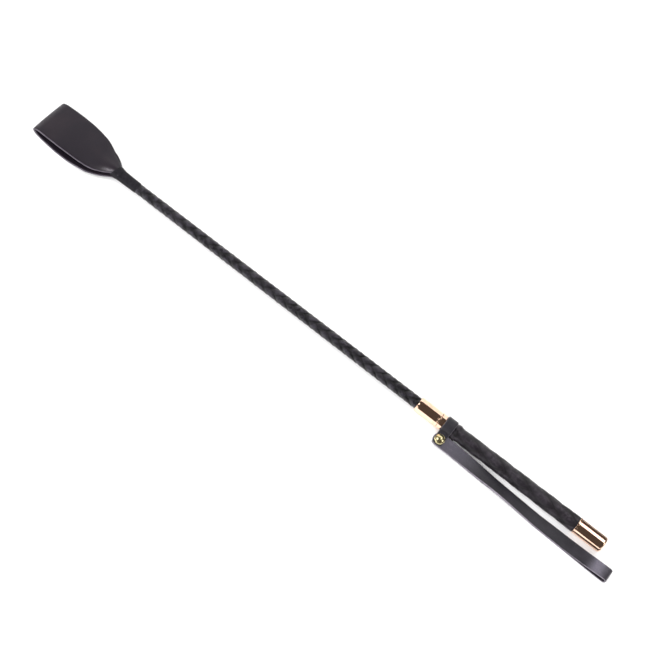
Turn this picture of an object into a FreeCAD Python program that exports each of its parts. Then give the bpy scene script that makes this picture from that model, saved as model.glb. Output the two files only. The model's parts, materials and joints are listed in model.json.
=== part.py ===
"""Riding crop: folded leather flap, plaited shaft, ferrule, collar with a riveted wrist strap, grip and butt cap.

Millimetres. +X runs along the crop and out of its butt, +Z is up. The origin is the centre of the butt cap's end
face, so the crop's axis is the X axis and everything but the end of the wrist strap has a negative x. The crop lies
on a table: the collar and the flap's lower leaf touch it.
"""

import FreeCAD, Part
import math
import os

from FreeCAD import Placement, Rotation, Vector

# Lengths along the axis, from the butt to the flap's fold.
LENGTH = 600.0
CAP_LENGTH = 29.5
GRIP_LENGTH = 132.0
COLLAR_WIDTH = 9.8
COLLAR_GAP = 0.35
FERRULE_LENGTH = 27.8
PLAIT_LENGTH = 302.3
BINDING_LENGTH = 24.5

# Core rod.
ROD_TIP_R = 2.2
FIT_GAP = 0.03
END_PLAY = 0.3

# Shaft plait and its hidden ends.
PLAIT_FRONT_R = 4.25
PLAIT_WALL = 1.55
LACE_SQUEEZE = 0.4
PLAIT_TUCK_FRONT = 8.0
PLAIT_TUCK_REAR = 20.0
SEIZING_WIDTH = 6.0
SEIZING_FROM_REAR = 0.5

# Neck binding and the flap's clamped tail.
BINDING_FRONT_R = 6.2
BINDING_REAR_R = 4.85
BINDING_SHOULDER_R = 5.15
BINDING_SHOULDER_AT = 0.3

# Ferrule and the bush that centres it.
FERRULE_R = 7.2
FERRULE_WALL = 0.9
FERRULE_EDGE = 0.5
BEAD_R = 0.85
BEAD_STAND = 0.5
BEAD_FROM_REAR = 5.2
BUSH_LENGTH = 10.0
BUSH_WALL = 1.15

# Handle: former, grip plait and its raised start.
FORMER_FRONT_R = 5.5
FORMER_REAR_R = 5.9
SPIGOT_LENGTH = 7.0
GRIP_FRONT_R = 6.4
GRIP_REAR_R = 7.05
ROLL_R = 7.35
ROLL_WIDTH = 4.0
GRIP_TUCK_REAR = 15.0
GRIP_SQUEEZE = 0.1

# Butt cap.
CAP_R = 7.5
CAP_WALL = 0.75
CAP_END_WALL = 1.6
CAP_EDGE_R = 2.4
RIM_R = 7.75
RIM_WIDTH = 1.8
RIM_EDGE = 0.3

# Collar band, its tab and the rivet.
BAND_THICKNESS = 1.2
COLLAR_CLEARANCE = 0.05
TAB_SLOPE = 15.0
TAB_PAST_RIVET = 5.3
TAB_CORNER_R = 2.6
POST_R = 1.5
RIVET_DOME_R = 4.55
RIVET_DOME_HEIGHT = 2.3
RIVET_BACK_R = 3.4
RIVET_BACK_HEIGHT = 0.9

# Wrist strap, doubled into a loop.
STRAP_WIDTH = 12.0
STRAP_THICKNESS = 1.2
STRAP_TO_ROLL = 0.85
LAYER_GAP = 0.05
TAB_PLAY = 0.025
STRAP_HOLE_CLEARANCE = 0.08
STRAP_REACH = 186.0
STRAP_DRIFT = 5.4
LOOP_GAP = 5.4
LOOP_OPENS_AT = 0.72
STRAP_LEAVES_TAB = 8.0
STRAP_FALL_LENGTH = 60.0
STRAP_LEAN_BACK = 11.0
STRAP_LEAN_BACK_AT = 0.36
STRAP_LEAN_OUT = 12.0
STRAP_LEAN_OUT_AT = 0.8
STRAP_LEAN_SPREAD = 0.18

# Flap: two leaves of one folded strip.
FLAP_WIDTH = 40.4
LEAF_THICKNESS = 1.8
FLAP_HEIGHT = 10.0
NECK_R = 2.6
NECK_GAP = 0.5
NECK_HALF_WIDTH = 8.0
FOLD_SKEW = 4.2
FLAP_YAW = 3.2

# Stations worked out from the lengths.
CAP_FRONT = -CAP_LENGTH
GRIP_FRONT = CAP_FRONT - GRIP_LENGTH
COLLAR_REAR = GRIP_FRONT - COLLAR_GAP
COLLAR_FRONT = COLLAR_REAR - COLLAR_WIDTH
FERRULE_REAR = COLLAR_FRONT - COLLAR_GAP
FERRULE_FRONT = FERRULE_REAR - FERRULE_LENGTH
BINDING_REAR = FERRULE_FRONT - PLAIT_LENGTH
BINDING_FRONT = BINDING_REAR - BINDING_LENGTH
HINGE_X = BINDING_FRONT - NECK_GAP - NECK_R
RIVET_X = (COLLAR_FRONT + COLLAR_REAR) / 2
STRAP_FREE_X = RIVET_X + STRAP_LEAVES_TAB

# Radii and reaches worked out from the ones above.
PLAIT_REAR_R = FERRULE_R - FERRULE_WALL - BUSH_WALL
ROD_BUTT_R = PLAIT_REAR_R - PLAIT_WALL
RIVET_REACH = ROLL_R + STRAP_TO_ROLL + STRAP_WIDTH / 2
TAB_REACH = RIVET_REACH + TAB_PAST_RIVET
LACES_UNDER_BINDING_R = PLAIT_FRONT_R - LACE_SQUEEZE
LACES_UNDER_SEIZING_R = PLAIT_REAR_R - LACE_SQUEEZE
CAP_BORE_R = CAP_R - CAP_WALL
SEIZED_GRIP_R = GRIP_FRONT_R - GRIP_SQUEEZE
COLLAR_SEAT_R = CAP_BORE_R - FIT_GAP
BAND_INNER_R = COLLAR_SEAT_R + COLLAR_CLEARANCE
BAND_OUTER_R = BAND_INNER_R + BAND_THICKNESS
AXIS_HEIGHT = BAND_OUTER_R
STACK = 2 * STRAP_THICKNESS + LAYER_GAP

AXIS = Vector(1, 0, 0)


def turned(profile):
    """Solid of revolution about the X axis from a closed outline of (x, radius) points."""
    points = [Vector(x, 0, r) for x, r in profile]
    wire = Part.makePolygon(points + points[:1])
    return Part.Face(wire).revolve(Vector(0, 0, 0), AXIS, 360)


def rod_radius(x):
    """The rod tapers evenly from the ferrule to its tip and is parallel inside the handle."""
    if x >= FERRULE_REAR:
        return ROD_BUTT_R
    share = (x - BINDING_FRONT) / (FERRULE_REAR - BINDING_FRONT)
    return ROD_TIP_R + share * (ROD_BUTT_R - ROD_TIP_R)


def smooth(share):
    """Ease from 0 to 1."""
    share = min(max(share, 0.0), 1.0)
    return share * share * (3 - 2 * share)


def core_rod():
    end = -CAP_END_WALL - FIT_GAP
    return turned([
        (BINDING_FRONT, 0),
        (BINDING_FRONT, rod_radius(BINDING_FRONT)),
        (FERRULE_REAR, ROD_BUTT_R),
        (end, ROD_BUTT_R),
        (end, 0),
    ])


def shaft_plait():
    """Tapered sleeve of laces, squeezed thinner where the binding and the rear seizing hold it."""
    front = BINDING_REAR - PLAIT_TUCK_FRONT
    rear = FERRULE_FRONT + PLAIT_TUCK_REAR
    seized = rear - SEIZING_WIDTH - 2 * SEIZING_FROM_REAR
    return turned([
        (front, rod_radius(front) + FIT_GAP),
        (front, LACES_UNDER_BINDING_R),
        (BINDING_REAR + FIT_GAP, LACES_UNDER_BINDING_R),
        (BINDING_REAR + FIT_GAP, PLAIT_FRONT_R),
        (FERRULE_FRONT, PLAIT_REAR_R),
        (seized, PLAIT_REAR_R),
        (seized, LACES_UNDER_SEIZING_R),
        (rear, LACES_UNDER_SEIZING_R),
        (rear, rod_radius(rear) + FIT_GAP),
    ])


def shaft_seizing():
    rear = FERRULE_FRONT + PLAIT_TUCK_REAR - SEIZING_FROM_REAR
    inner = LACES_UNDER_SEIZING_R + FIT_GAP
    return turned([
        (rear - SEIZING_WIDTH, inner),
        (rear - SEIZING_WIDTH, PLAIT_REAR_R),
        (rear, PLAIT_REAR_R),
        (rear, inner),
    ])


def flap_tail():
    """The flap's leather below the flex line, wrapped round the rod's tip."""
    rear = BINDING_REAR - PLAIT_TUCK_FRONT - END_PLAY
    return turned([
        (BINDING_FRONT, rod_radius(BINDING_FRONT) + FIT_GAP),
        (BINDING_FRONT, LACES_UNDER_BINDING_R),
        (rear, LACES_UNDER_BINDING_R),
        (rear, rod_radius(rear) + FIT_GAP),
    ])


def neck_binding():
    """Thread wound over tail and laces: thick at the flap, then stepping down to the plait."""
    inner = LACES_UNDER_BINDING_R + FIT_GAP
    shoulder = BINDING_FRONT + BINDING_SHOULDER_AT * BINDING_LENGTH
    return turned([
        (BINDING_FRONT, inner),
        (BINDING_FRONT, BINDING_FRONT_R),
        (shoulder, BINDING_SHOULDER_R),
        (BINDING_REAR, BINDING_REAR_R),
        (BINDING_REAR, inner),
    ])


def ferrule():
    """Spun sleeve with an inward lip at the front and a half-round bead near the rear."""
    bore = FERRULE_R - FERRULE_WALL
    lip = FERRULE_FRONT + FERRULE_WALL
    shell = turned([
        (FERRULE_FRONT, PLAIT_REAR_R + FIT_GAP),
        (FERRULE_FRONT, FERRULE_R - FERRULE_EDGE),
        (FERRULE_FRONT + FERRULE_EDGE, FERRULE_R),
        (FERRULE_REAR, FERRULE_R),
        (FERRULE_REAR, bore),
        (lip, bore),
        (lip, PLAIT_REAR_R + FIT_GAP),
    ])
    centre = Vector(FERRULE_REAR - BEAD_FROM_REAR, 0, 0)
    bead = Part.makeTorus(FERRULE_R + BEAD_STAND - BEAD_R, BEAD_R, centre, AXIS)
    core = Part.makeCylinder(FERRULE_R - FERRULE_WALL / 2, 4 * BEAD_R, centre - AXIS * 2 * BEAD_R, AXIS)
    return shell.fuse(bead.cut(core)).removeSplitter()


def ferrule_bush():
    front = FERRULE_FRONT + FERRULE_WALL + FIT_GAP
    inner = PLAIT_REAR_R + FIT_GAP
    outer = FERRULE_R - FERRULE_WALL - FIT_GAP
    return turned([
        (front, inner),
        (front, outer),
        (front + BUSH_LENGTH, outer),
        (front + BUSH_LENGTH, inner),
    ])


def grip_former():
    """Built-up handle core: a spigot in the ferrule, then a taper up to the bottom of the cap."""
    bore = ROD_BUTT_R + FIT_GAP
    spigot_r = FERRULE_R - FERRULE_WALL - FIT_GAP
    end = -CAP_END_WALL - FIT_GAP
    return turned([
        (FERRULE_REAR - SPIGOT_LENGTH, bore),
        (FERRULE_REAR - SPIGOT_LENGTH, spigot_r),
        (FERRULE_REAR, spigot_r),
        (FERRULE_REAR, FORMER_FRONT_R),
        (CAP_FRONT, FORMER_REAR_R),
        (end, FORMER_REAR_R),
        (end, bore),
    ])


def former_radius(x):
    share = (x - FERRULE_REAR) / (CAP_FRONT - FERRULE_REAR)
    return FORMER_FRONT_R + min(share, 1.0) * (FORMER_REAR_R - FORMER_FRONT_R)


def grip_plait():
    """Sleeve of broad laces: squeezed under the collar, a raised start, the grip, squeezed inside the cap."""
    front = FERRULE_REAR + FIT_GAP
    rear = CAP_FRONT + GRIP_TUCK_REAR
    half_roll = GRIP_FRONT + ROLL_WIDTH / 2
    roll_end = GRIP_FRONT + ROLL_WIDTH
    return turned([
        (front, former_radius(front) + FIT_GAP),
        (front, SEIZED_GRIP_R),
        (GRIP_FRONT, SEIZED_GRIP_R),
        (GRIP_FRONT, (ROLL_R + GRIP_FRONT_R) / 2),
        (half_roll, ROLL_R),
        (roll_end, GRIP_FRONT_R),
        (CAP_FRONT - FIT_GAP, GRIP_REAR_R),
        (CAP_FRONT - FIT_GAP, SEIZED_GRIP_R),
        (rear, SEIZED_GRIP_R),
        (rear, FORMER_REAR_R + FIT_GAP),
        (CAP_FRONT, FORMER_REAR_R + FIT_GAP),
    ])


def grip_seizing(front, width):
    """Ring of thread over the squeezed lace ends; the front one is also the collar's seat."""
    inner = SEIZED_GRIP_R + FIT_GAP
    return turned([
        (front, inner),
        (front, COLLAR_SEAT_R),
        (front + width, COLLAR_SEAT_R),
        (front + width, inner),
    ])


def butt_cap():
    """Closed cup with a raised rim at the grip and a rounded edge round its flat end face."""
    outer = Part.makeCylinder(CAP_R, CAP_LENGTH, Vector(CAP_FRONT, 0, 0), AXIS)
    end_edge = [e for e in outer.Edges if e.Closed and abs(e.BoundBox.XMin) < 1e-6]
    outer = outer.makeFillet(CAP_EDGE_R, end_edge)
    rim = turned([
        (CAP_FRONT, CAP_BORE_R),
        (CAP_FRONT, RIM_R - RIM_EDGE),
        (CAP_FRONT + RIM_EDGE, RIM_R),
        (CAP_FRONT + RIM_WIDTH - RIM_EDGE, RIM_R),
        (CAP_FRONT + RIM_WIDTH, CAP_R),
        (CAP_FRONT + RIM_WIDTH, CAP_BORE_R),
    ])
    bore = Part.makeCylinder(CAP_BORE_R, CAP_LENGTH - CAP_END_WALL, Vector(CAP_FRONT, 0, 0), AXIS)
    return outer.fuse(rim).cut(bore).removeSplitter()


def on_tab(shape):
    """Put a shape drawn with its tab along -Y and its rivet along +Z on the sloping tab."""
    shape.Placement = Placement(Vector(0, 0, 0), Rotation(AXIS, TAB_SLOPE)).multiply(shape.Placement)
    return shape


def collar_band():
    """One band in keyhole form: a ring round the handle whose two ends run out side by side as the tab."""
    inside = STACK / 2 + TAB_PLAY
    outside = inside + BAND_THICKNESS
    ring = Part.makeCylinder(BAND_OUTER_R, COLLAR_WIDTH, Vector(COLLAR_FRONT, 0, 0), AXIS)
    tab = Part.makeBox(COLLAR_WIDTH, TAB_REACH, 2 * outside, Vector(COLLAR_FRONT, -TAB_REACH, -outside))
    corners = [
        e for e in tab.Edges
        if abs(e.BoundBox.YMax + TAB_REACH) < 1e-6 and e.BoundBox.ZLength > outside
    ]
    tab = tab.makeFillet(TAB_CORNER_R, corners)
    bore = Part.makeCylinder(BAND_INNER_R, COLLAR_WIDTH, Vector(COLLAR_FRONT, 0, 0), AXIS)
    slot = Part.makeBox(
        COLLAR_WIDTH, TAB_REACH + 1, 2 * inside, Vector(COLLAR_FRONT, -TAB_REACH - 1, -inside)
    )
    hole = Part.makeCylinder(POST_R, 2 * outside, Vector(RIVET_X, -RIVET_REACH, -outside))
    return on_tab(ring.fuse(tab).cut(bore).cut(slot).cut(hole).removeSplitter())


def tab_half():
    return STACK / 2 + TAB_PLAY + BAND_THICKNESS


def rivet_head():
    """Dome and post in one piece."""
    top = tab_half()
    ball_r = (RIVET_DOME_R ** 2 + RIVET_DOME_HEIGHT ** 2) / (2 * RIVET_DOME_HEIGHT)
    centre = Vector(RIVET_X, -RIVET_REACH, top + RIVET_DOME_HEIGHT - ball_r)
    dome = Part.makeSphere(ball_r, centre)
    above = Part.makeCylinder(RIVET_DOME_R, ball_r, Vector(RIVET_X, -RIVET_REACH, top))
    post_length = 2 * top + RIVET_BACK_HEIGHT
    post = Part.makeCylinder(POST_R, post_length, Vector(RIVET_X, -RIVET_REACH, top - post_length))
    return on_tab(dome.common(above).fuse(post).removeSplitter())


def rivet_back():
    bottom = -tab_half() - RIVET_BACK_HEIGHT
    disc = Part.makeCylinder(RIVET_BACK_R, RIVET_BACK_HEIGHT, Vector(RIVET_X, -RIVET_REACH, bottom))
    low_edge = [e for e in disc.Edges if e.Closed and abs(e.BoundBox.ZMin - bottom) < 1e-6]
    disc = disc.makeFillet(RIVET_BACK_HEIGHT / 2, low_edge)
    hole = Part.makeCylinder(POST_R, RIVET_BACK_HEIGHT, Vector(RIVET_X, -RIVET_REACH, bottom))
    return on_tab(disc.cut(hole))


def strap_lean(x):
    """How far the strap's width leans from level where it lies on the table: back towards the grip, then outwards."""
    share = (x - RIVET_X) / STRAP_REACH
    back = math.exp(-((share - STRAP_LEAN_BACK_AT) / STRAP_LEAN_SPREAD) ** 2)
    out = math.exp(-((share - STRAP_LEAN_OUT_AT) / STRAP_LEAN_SPREAD) ** 2)
    return math.radians(STRAP_LEAN_OUT * out - STRAP_LEAN_BACK * back)


def strap_middle(x):
    """Centre of the doubled strap at a station, and its tilt: in the tab's plane, then down onto the table."""
    slope = math.radians(TAB_SLOPE)
    drift = smooth((x - STRAP_FREE_X) / (RIVET_X + STRAP_REACH - STRAP_FREE_X))
    fall = smooth((x - STRAP_FREE_X) / STRAP_FALL_LENGTH)
    lean = fall * strap_lean(x)
    y = -RIVET_REACH * math.cos(slope) - STRAP_DRIFT * drift
    high = -RIVET_REACH * math.sin(slope)
    low = -AXIS_HEIGHT + STACK / 2 + STRAP_WIDTH / 2 * abs(math.sin(lean))
    return y, high + fall * (low - high), (1 - fall) * slope + lean


def strap_section(x, lift, turn):
    """Strap's cross-section, turned about its width and lifted from the middle of the doubled strap."""
    y, z, tilt = strap_middle(x)
    across = Vector(0, math.cos(tilt), math.sin(tilt))
    up = Vector(0, -math.sin(tilt), math.cos(tilt))
    normal = AXIS * -math.sin(turn) + up * math.cos(turn)
    centre = Vector(x, y, z) + up * lift
    half_width = across * (STRAP_WIDTH / 2)
    half_thick = normal * (STRAP_THICKNESS / 2)
    corners = [
        centre - half_width - half_thick,
        centre + half_width - half_thick,
        centre + half_width + half_thick,
        centre - half_width + half_thick,
    ]
    return Part.makePolygon(corners + corners[:1])


def loop_gap(x):
    """Gap between the layers: closed along most of the strap, open at the end of the loop."""
    share = (x - RIVET_X) / STRAP_REACH
    return LAYER_GAP + (LOOP_GAP - LAYER_GAP) * smooth((share - LOOP_OPENS_AT) / (1 - LOOP_OPENS_AT))


def strap_head():
    """Both ends of the strap pressed together round the rivet, with a rounded end."""
    corner = Vector(RIVET_X, -RIVET_REACH - STRAP_WIDTH / 2, -STACK / 2)
    flat = Part.makeBox(STRAP_FREE_X - RIVET_X, STRAP_WIDTH, STACK, corner)
    disc = Part.makeCylinder(STRAP_WIDTH / 2, STACK, Vector(RIVET_X, -RIVET_REACH, -STACK / 2))
    hole_r = POST_R + STRAP_HOLE_CLEARANCE
    hole = Part.makeCylinder(hole_r, STACK, Vector(RIVET_X, -RIVET_REACH, -STACK / 2))
    return on_tab(flat.fuse(disc).cut(hole).removeSplitter())


def wrist_strap():
    """Lower layer out from the rivet, round the end of the loop and back as the upper layer."""
    low = (LAYER_GAP + STRAP_THICKNESS) / 2
    bend_x = RIVET_X + STRAP_REACH - LOOP_GAP / 2 - STRAP_THICKNESS
    bend_r = (loop_gap(bend_x) + STRAP_THICKNESS) / 2
    steps = 20
    stations = [STRAP_FREE_X + (bend_x - STRAP_FREE_X) * i / steps for i in range(steps + 1)]
    sections = [strap_section(x, -low, 0.0) for x in stations]
    bend_steps = 8
    for i in range(1, bend_steps):
        turn = math.pi * i / bend_steps
        lift = -low + bend_r * (1 - math.cos(turn))
        sections.append(strap_section(bend_x + bend_r * math.sin(turn), lift, turn))
    sections += [
        strap_section(x, -low + loop_gap(x) + STRAP_THICKNESS, math.pi) for x in reversed(stations)
    ]
    loop = Part.makeLoft(sections, True, True)
    return loop.fuse(strap_head()).removeSplitter()


def leaf_centreline():
    """Side view of the folded strip, from the neck over the top leaf, round the fold and back underneath."""
    fold_x = -LENGTH + LEAF_THICKNESS / 2
    end_x = HINGE_X - 1.0
    reach = end_x - fold_x
    half = LEAF_THICKNESS / 2
    floor = -AXIS_HEIGHT + half
    top = -AXIS_HEIGHT + FLAP_HEIGHT - half
    neck = NECK_R - half
    return [
        Vector(end_x, 0, neck),
        Vector(end_x - 0.30 * reach, 0, top),
        Vector(end_x - 0.62 * reach, 0, top - 0.3),
        Vector(fold_x + 0.11 * reach, 0, top - 1.6),
        Vector(fold_x + 0.03 * reach, 0, top - 2.9),
        Vector(fold_x, 0, (top + floor) / 2 - 0.9),
        Vector(fold_x + 0.03 * reach, 0, floor + 1.5),
        Vector(fold_x + 0.12 * reach, 0, floor + 0.1),
        Vector(fold_x + 0.32 * reach, 0, floor + 0.06),
        Vector(fold_x + 0.54 * reach, 0, floor + 0.6),
        Vector(end_x - 0.22 * reach, 0, floor + 3.2),
        Vector(end_x, 0, -neck),
    ]


def ribbon(points, thickness):
    """Face of even thickness along a smooth line in the XZ plane."""
    line = Part.BSplineCurve()
    line.interpolate(points)
    count = 60
    outer = []
    inner = []
    for i in range(count + 1):
        t = line.FirstParameter + (line.LastParameter - line.FirstParameter) * i / count
        here = line.value(t)
        along = Vector(*line.tangent(t)[0])
        side = along.cross(Vector(0, 1, 0)).normalize() * (thickness / 2)
        outer.append(here + side)
        inner.append(here - side)
    edges = []
    for row in (outer, inner):
        curve = Part.BSplineCurve()
        curve.interpolate(row)
        edges.append(curve.toShape())
    edges.append(Part.makeLine(outer[0], inner[0]))
    edges.append(Part.makeLine(outer[-1], inner[-1]))
    return Part.Face(Part.Wire(Part.__sortEdges__(edges)))


def flap_outline():
    """Plan of the flap, neck to fold, as a tall prism: nearly parallel sides that curve in to the neck."""
    half = FLAP_WIDTH / 2
    neck_x = HINGE_X + NECK_R
    reach = LENGTH + neck_x
    side = [
        (neck_x, NECK_HALF_WIDTH),
        (neck_x - 0.06 * reach, 0.57 * half),
        (neck_x - 0.13 * reach, 0.71 * half),
        (neck_x - 0.22 * reach, 0.83 * half),
        (neck_x - 0.36 * reach, 0.94 * half),
        (neck_x - 0.52 * reach, half),
        (neck_x - 0.80 * reach, 0.995 * half),
        (-LENGTH - half, 0.985 * half),
    ]
    edges = []
    for sign in (1, -1):
        curve = Part.BSplineCurve()
        curve.interpolate([Vector(x, sign * w, -FLAP_HEIGHT * 2) for x, w in side])
        edges.append(curve.toShape())
    edges.append(Part.makeLine(edges[0].Vertexes[0].Point, edges[1].Vertexes[0].Point))
    edges.append(Part.makeLine(edges[0].Vertexes[-1].Point, edges[1].Vertexes[-1].Point))
    plan = Part.Face(Part.Wire(Part.__sortEdges__(edges)))
    return plan.extrude(Vector(0, 0, 4 * FLAP_HEIGHT))


def flap():
    """Folded strip with a skewed fold, cut to its plan, turned a little at the neck, and a round neck end."""
    width = 1.2 * FLAP_WIDTH
    skew = math.tan(math.radians(FOLD_SKEW))
    strip = ribbon(leaf_centreline(), LEAF_THICKNESS)
    strip.translate(Vector(-skew * width / 2, -width / 2, 0))
    strip = strip.extrude(Vector(skew * width, width, 0))
    leaves = strip.common(flap_outline())
    leaves.rotate(Vector(HINGE_X, 0, 0), Vector(0, 0, 1), -FLAP_YAW)
    neck = Part.makeCylinder(NECK_R, 2 * NECK_HALF_WIDTH, Vector(HINGE_X, -NECK_HALF_WIDTH, 0), Vector(0, 1, 0))
    return leaves.fuse(neck).removeSplitter()


PIECES = {
    "core_rod": core_rod,
    "shaft_plait": shaft_plait,
    "shaft_seizing": shaft_seizing,
    "flap_tail": flap_tail,
    "neck_binding": neck_binding,
    "flap": flap,
    "ferrule": ferrule,
    "ferrule_bush": ferrule_bush,
    "grip_former": grip_former,
    "grip_plait": grip_plait,
    "grip_seizing_front": lambda: grip_seizing(COLLAR_FRONT + 1.0, COLLAR_WIDTH - 2.0),
    "grip_seizing_rear": lambda: grip_seizing(CAP_FRONT + GRIP_TUCK_REAR - 0.5 - SEIZING_WIDTH, SEIZING_WIDTH),
    "butt_cap": butt_cap,
    "collar_band": collar_band,
    "rivet_head": rivet_head,
    "rivet_back": rivet_back,
    "wrist_strap": wrist_strap,
}

os.makedirs("parts", exist_ok=True)
for name, build in PIECES.items():
    shape = build()
    if shape.ShapeType != "Solid" and len(shape.Solids) == 1:
        shape = shape.Solids[0]
    box = shape.BoundBox
    print(
        f"{name:20s} {shape.ShapeType} valid={shape.isValid()} solids={len(shape.Solids)} "
        f"vol={shape.Volume:9.1f} x {box.XMin:.2f}..{box.XMax:.2f} "
        f"y {box.YMin:.2f}..{box.YMax:.2f} z {box.ZMin:.2f}..{box.ZMax:.2f}"
    )
    shape.exportStep(f"parts/{name}.step")
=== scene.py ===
"""Looks of the riding crop in metres: plaited laces, folded flap, bound neck, collar, strap and metal."""

import json
import math

import bmesh
import bpy
import numpy as np
from mathutils import Matrix, Vector


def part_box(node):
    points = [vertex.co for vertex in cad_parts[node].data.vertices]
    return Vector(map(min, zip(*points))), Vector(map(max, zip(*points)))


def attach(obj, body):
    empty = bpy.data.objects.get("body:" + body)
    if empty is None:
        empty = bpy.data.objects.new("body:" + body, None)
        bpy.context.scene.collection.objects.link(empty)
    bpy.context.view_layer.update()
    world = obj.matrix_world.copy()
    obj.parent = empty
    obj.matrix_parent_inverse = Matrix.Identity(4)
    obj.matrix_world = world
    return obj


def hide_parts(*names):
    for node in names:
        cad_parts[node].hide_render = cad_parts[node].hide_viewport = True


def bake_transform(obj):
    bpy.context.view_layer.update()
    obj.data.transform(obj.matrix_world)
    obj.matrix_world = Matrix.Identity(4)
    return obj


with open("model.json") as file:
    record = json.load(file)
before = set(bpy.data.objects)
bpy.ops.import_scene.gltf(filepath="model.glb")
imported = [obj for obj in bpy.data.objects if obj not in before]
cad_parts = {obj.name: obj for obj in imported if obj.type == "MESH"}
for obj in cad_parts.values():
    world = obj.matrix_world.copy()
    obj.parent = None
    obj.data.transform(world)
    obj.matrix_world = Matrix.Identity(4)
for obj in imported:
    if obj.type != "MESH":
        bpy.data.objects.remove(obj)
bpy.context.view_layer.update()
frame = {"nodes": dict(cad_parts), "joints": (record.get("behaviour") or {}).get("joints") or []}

MM = 0.001

# ---------------------------------------------------------------- places, read from the frame

RIVET_HINGE = next(j for j in frame["joints"] if j["name"] == "strap_swing")
FLAP_HINGE = next(j for j in frame["joints"] if j["name"] == "flap_flex")


def ends(node):
    """Where a turned node starts and stops along the crop."""
    low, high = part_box(node)
    return low.x, high.x


def radius(node):
    """Largest radius of a turned node."""
    low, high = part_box(node)
    return (high.z - low.z) / 2


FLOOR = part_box("collar_band")[0].z
CAP_FRONT, CAP_END = ends("butt_cap")
COLLAR_FRONT, COLLAR_REAR = ends("collar_band")
FERRULE_FRONT, FERRULE_REAR = ends("ferrule")
BINDING_FRONT, BINDING_REAR = ends("neck_binding")
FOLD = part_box("flap")[0].x
TAB_SLOPE = math.atan2(RIVET_HINGE["axis"][1], -RIVET_HINGE["axis"][2])
RIVET = Vector(RIVET_HINGE["pos_m"])
HINGE_X = FLAP_HINGE["pos_m"][0]

# ---------------------------------------------------------------- sizes that the looks add

SHAFT_FRONT_R = 4.25 * MM
SHAFT_REAR_R = radius("shaft_plait")
COLLAR_GAP = 0.35 * MM
GRIP_FRONT = COLLAR_REAR + COLLAR_GAP
GRIP_FRONT_R = 6.4 * MM
GRIP_REAR_R = 7.05 * MM

# Thickness of the flap's leather, and of the strap's and the collar's.
LEAF = 1.8 * MM
BAND = 1.2 * MM

# Collar, tab and rivet.
COLLAR_CLEARANCE = 0.05 * MM
TAB_SPLIT = 1.25 * MM
TAB_END = 19.5 * MM
TAB_CORNER = 2.6 * MM
RIVET_BASE = 2.45 * MM
DOME_R = 4.65 * MM
DOME_HEIGHT = 2.4 * MM
WASHER_R = 3.4 * MM
WASHER_HEIGHT = 0.9 * MM

# Wrist strap. The leans are in degrees, and their places and spread are shares of the strap's reach.
STRAP_WIDTH = 12.0 * MM
STRAP_LEAVES_TAB = 8.0 * MM
STRAP_END_REACH = 5.7 * MM
STRAP_SWAY = 0.22 * MM
STRAP_FALL_LENGTH = 60.0 * MM
STRAP_DRIFT = 5.4 * MM
LAYER_GAP = 0.05 * MM
LOOP_GAP = 5.4 * MM
LOOP_OPENS_AT = 0.72
LEAN_BACK = 11.0
LEAN_BACK_AT = 0.36
LEAN_OUT = 12.0
LEAN_OUT_AT = 0.80
LEAN_SPREAD = 0.18

# Plated metal.
FERRULE_R = 7.2 * MM
FERRULE_WALL = 0.9 * MM
FERRULE_LIP = 3.2 * MM
BEAD_FROM_REAR = 5.2 * MM
BEAD_HALF = 0.9 * MM
BEAD_STAND = 0.5 * MM
CAP_R = 7.5 * MM
CAP_WALL = 0.75 * MM
CAP_END_WALL = 1.6 * MM
CAP_EDGE_R = 2.4 * MM
CAP_RIM_WIDTH = 1.8 * MM

# ---------------------------------------------------------------- camera, floor and light

VIEW_WIDTH = 0.5515
VIEW_ELEVATION = math.radians(60.0)
VIEW_TURN = math.radians(1.0)
VIEW_ROLL = math.radians(36.64)
LENS = 200.0
SENSOR = 36.0
LOOK_AT_X = -0.3067
LOOK_AT_SIDE = -0.0051


def make_camera():
    """Long lens above the strap's side of the crop, rolled so that the crop runs down to the right."""
    along = Vector((math.cos(VIEW_TURN), math.sin(VIEW_TURN), 0))
    away = Vector((-along.y, along.x, 0))
    back = -away * math.cos(VIEW_ELEVATION) + Vector((0, 0, 1)) * math.sin(VIEW_ELEVATION)
    up = back.cross(along)
    right = along * math.cos(VIEW_ROLL) + up * math.sin(VIEW_ROLL)
    top = up * math.cos(VIEW_ROLL) - along * math.sin(VIEW_ROLL)
    target = Vector((LOOK_AT_X, 0, 0)) - up * LOOK_AT_SIDE
    distance = VIEW_WIDTH * LENS / SENSOR
    data = bpy.data.cameras.new("camera")
    data.lens = LENS
    data.sensor_width = SENSOR
    data.clip_end = 100
    camera = bpy.data.objects.new("camera", data)
    axes = Matrix((right, top, back)).transposed().to_4x4()
    camera.matrix_world = Matrix.Translation(target + back * distance) @ axes
    bpy.context.collection.objects.link(camera)
    bpy.context.scene.camera = camera


def plain_sheet(name, corners, material_name, colour, roughness, specular):
    """Flat face of one plain colour, which belongs to the picture and not to the crop."""
    mesh = bpy.data.meshes.new(name)
    mesh.from_pydata(corners, [], [(0, 1, 2, 3)])
    sheet = bpy.data.objects.new(name, mesh)
    bpy.context.collection.objects.link(sheet)
    material = bpy.data.materials.new(material_name)
    material.use_nodes = True
    shader = material.node_tree.nodes["Principled BSDF"]
    shader.inputs["Base Color"].default_value = (*colour, 1)
    shader.inputs["Roughness"].default_value = roughness
    shader.inputs["Specular IOR Level"].default_value = specular
    mesh.materials.append(material)
    return sheet


def make_floor():
    """Plain pale table, 12 m square."""
    size = 6.0
    corners = [(-size, -size, FLOOR), (size, -size, FLOOR), (size, size, FLOOR), (-size, size, FLOOR)]
    floor = plain_sheet("floor", corners, "pale_floor", (0.93, 0.93, 0.935), 0.9, 0.2)


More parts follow.
